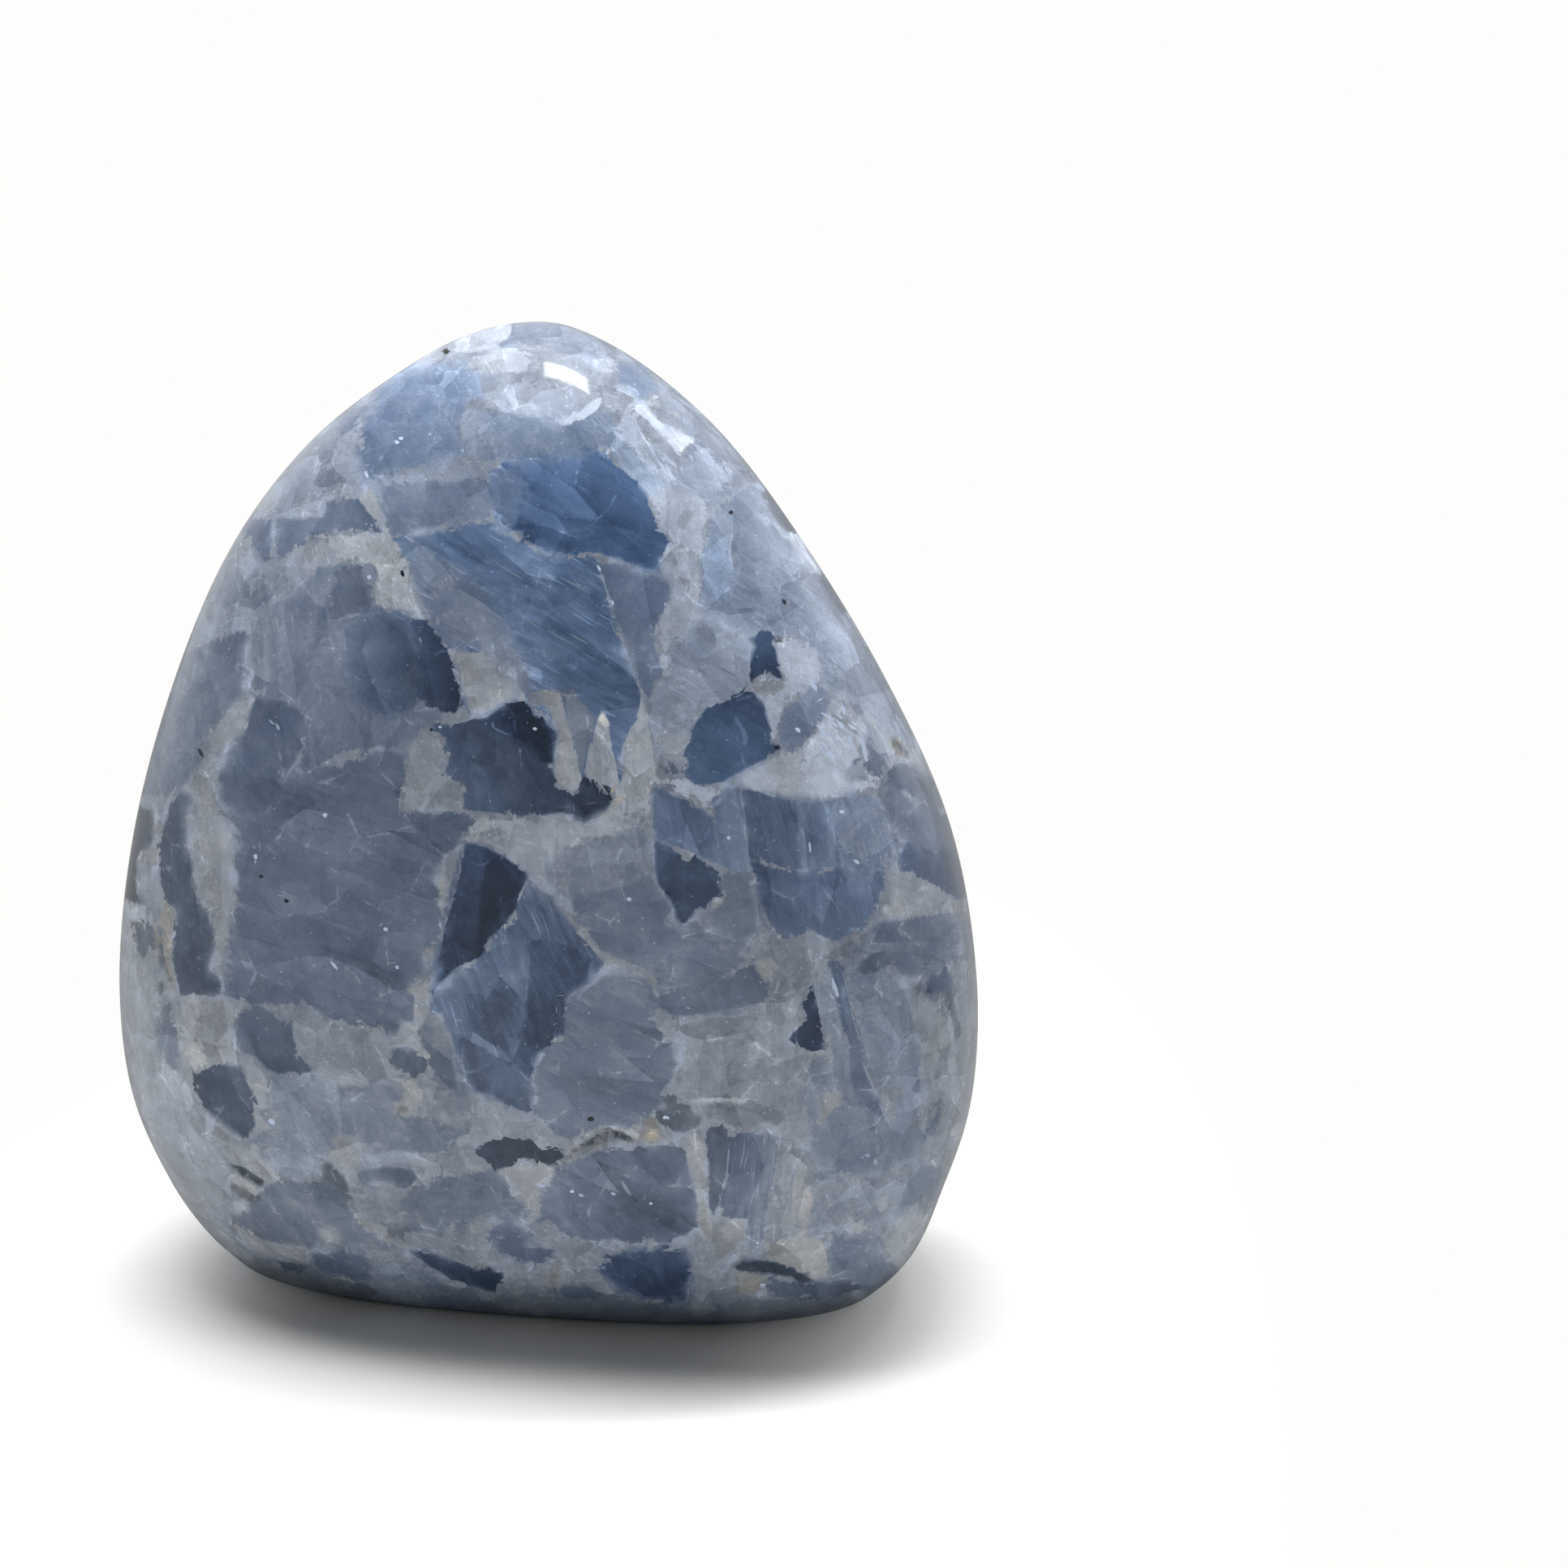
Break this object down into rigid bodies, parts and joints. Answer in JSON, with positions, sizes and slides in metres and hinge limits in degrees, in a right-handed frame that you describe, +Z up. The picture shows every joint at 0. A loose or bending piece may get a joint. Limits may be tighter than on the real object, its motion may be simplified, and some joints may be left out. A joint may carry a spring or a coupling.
{
  "type": "polished blue calcite freeform",
  "caption": "Free-form standing stone of blue calcite, egg shaped with a broad rounded foot, polished all over and sawn flat underneath.",
  "frame": {"origin": "on the table, under the middle of the stone's box", "axes": "+Z up from the saw cut to the tip, +X along the stone's width, -Y out of the broad face that the picture shows"},
  "size_m": [0.1092, 0.058, 0.12],
  "materials": {
    "calcite": "hand-polished blue calcite, mid blue crystals with pale ragged seams, glossy"
  },
  "bodies": {
    "root": {"stone": "calcite"}
  },
  "joints": []
}
